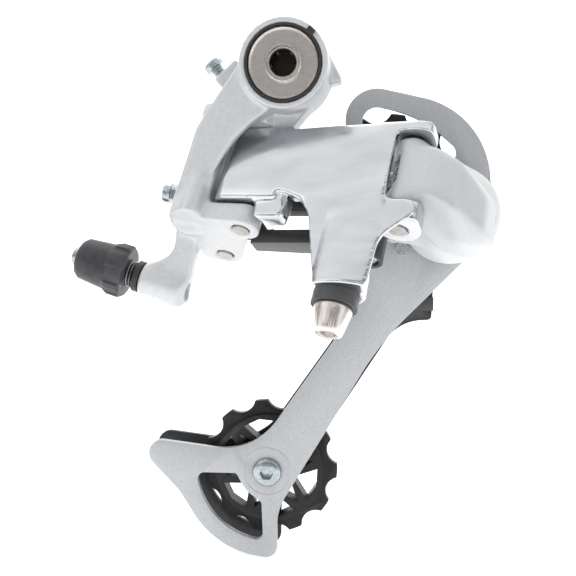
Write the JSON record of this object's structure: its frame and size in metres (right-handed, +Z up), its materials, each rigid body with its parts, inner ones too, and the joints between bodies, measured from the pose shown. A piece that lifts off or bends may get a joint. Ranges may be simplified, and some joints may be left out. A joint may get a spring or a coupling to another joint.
{
  "type": "rear derailleur",
  "caption": "Long-cage rear bicycle derailleur: hanger knuckle, sprung parallelogram, cage knuckle and a sprung cage with toothed guide and tension pulleys.",
  "frame": {"origin": "where the hanger bolt's axis meets the outboard face of the frame's hanger", "axes": "+X forward on the bicycle, +Y inboard along the hanger bolt's thread, +Z up"},
  "size_m": [0.1336, 0.0743, 0.1745],
  "materials": {
    "knuckle_paint": "satin silver paint on cast alloy",
    "polished_alloy": "polished forged alloy",
    "knuckle_grey": "satin grey paint on cast alloy",
    "cage_paint": "fine-grained satin grey paint on steel sheet",
    "black_steel": "black coated steel",
    "nickel": "nickel plated steel",
    "zinc": "zinc plated steel",
    "pin_steel": "plain steel pin",
    "spring_steel": "spring steel wire",
    "black_plastic": "moulded glass-filled nylon",
    "knob_plastic": "charcoal moulded plastic",
    "bearing_plastic": "dry bearing plastic",
    "brass": "plain bronze bearing"
  },
  "bodies": {
    "hanger_side": {"mount_bolt": "nickel", "b_stop_plate": "zinc", "b_spring": "spring_steel"},
    "bracket": {"b_knuckle": "knuckle_paint", "b_bushing": "brass", "b_end_cap": "bearing_plastic", "seal_ring": "black_plastic", "link_pin_outer_rear": "pin_steel", "link_pin_inner_rear": "pin_steel", "adjuster_collar": "black_plastic"},
    "b_screw": {"b_tension_screw": "zinc"},
    "high_screw": {"limit_screw_high": "zinc"},
    "low_screw": {"limit_screw_low": "zinc"},
    "adjuster": {"adjuster_barrel": "zinc", "adjuster_spring": "spring_steel"},
    "adjuster_grip": {"adjuster_knob": "knob_plastic"},
    "outer_arm": {"outer_link": "polished_alloy", "link_pin_outer_front": "pin_steel", "anchor_bolt": "nickel", "anchor_washer": "black_steel", "anchor_nut": "zinc"},
    "inner_arm": {"inner_link": "black_steel", "inner_link_sleeve": "brass", "inner_link_screw": "zinc"},
    "cage_knuckle": {"p_knuckle": "knuckle_grey", "p_bushing": "brass", "p_spring": "spring_steel", "return_spring": "spring_steel"},
    "cage": {"outer_cage_plate": "cage_paint", "inner_cage_plate": "black_steel", "cage_axle": "zinc", "cage_stop_pin": "zinc", "guide_pulley_bolt": "zinc", "tension_pulley_bolt": "zinc", "guide_pulley_sleeve": "zinc", "tension_pulley_sleeve": "zinc", "guide_pulley_caps": "zinc", "tension_pulley_caps": "zinc"},
    "guide": {"guide_pulley": "black_plastic"},
    "tension": {"tension_pulley": "black_plastic"}
  },
  "joints": [
    {"name": "b_pivot", "type": "hinge", "parent": "hanger_side", "child": "bracket", "pos_m": [0, 0, 0], "axis": [0, 1, 0], "range_deg": [0, 30], "stiffness_Nm_per_rad": 0.3, "springref_deg": -90},
    {"name": "b_screw_travel", "type": "slide", "parent": "bracket", "child": "b_screw", "axis": [-0.6691, 0, 0.7431], "range_m": [0, 0.004]},
    {"name": "high_screw_travel", "type": "slide", "parent": "bracket", "child": "high_screw", "axis": [-0.9854, 0, 0.1701], "range_m": [0, 0.004]},
    {"name": "low_screw_travel", "type": "slide", "parent": "bracket", "child": "low_screw", "axis": [-0.9854, 0, 0.1701], "range_m": [0, 0.004]},
    {"name": "adjuster_travel", "type": "slide", "parent": "bracket", "child": "adjuster", "axis": [-0.9539, 0, 0.3], "range_m": [0, 0.003]},
    {"name": "adjuster_twist", "type": "hinge", "parent": "adjuster", "child": "adjuster_grip", "pos_m": [-0.0462, -0.014, -0.0626], "axis": [-0.9539, 0, 0.3], "range_deg": [0, 1350]},
    {"name": "link_swing", "type": "hinge", "parent": "bracket", "child": "outer_arm", "pos_m": [-0.0119, -0.025, -0.045], "axis": [0.1699, 0.4997, 0.8494], "range_deg": [0, 50], "stiffness_Nm_per_rad": 0.3, "springref_deg": -60},
    {"name": "inner_swing", "type": "hinge", "parent": "bracket", "child": "inner_arm", "pos_m": [-0.01981, -0.00847, -0.05314], "axis": [0.1699, 0.4997, 0.8494], "range_deg": [0, 50]},
    {"name": "knuckle_swing", "type": "hinge", "parent": "outer_arm", "child": "cage_knuckle", "pos_m": [0.03277, -0.03962, -0.04533], "axis": [0.1699, 0.4997, 0.8494], "range_deg": [-50, 0]},
    {"name": "p_pivot", "type": "hinge", "parent": "cage_knuckle", "child": "cage", "pos_m": [0.0495, 0, -0.043], "axis": [0, -1, 0], "range_deg": [0, 100], "stiffness_Nm_per_rad": 0.2, "springref_deg": -120},
    {"name": "guide_spin", "type": "hinge", "parent": "cage", "child": "guide", "pos_m": [0.0306, 0.01125, -0.0337], "axis": [0, 1, 0], "continuous": true},
    {"name": "tension_spin", "type": "hinge", "parent": "cage", "child": "tension", "pos_m": [-0.0094, 0.01125, -0.1309], "axis": [0, 1, 0], "continuous": true}
  ],
  "couplings": [
    {"joint": "inner_swing", "follows": "link_swing", "ratio": 1},
    {"joint": "knuckle_swing", "follows": "link_swing", "ratio": -1},
    {"joint": "adjuster_twist", "follows": "adjuster_travel", "rad_per_m": 7854}
  ]
}
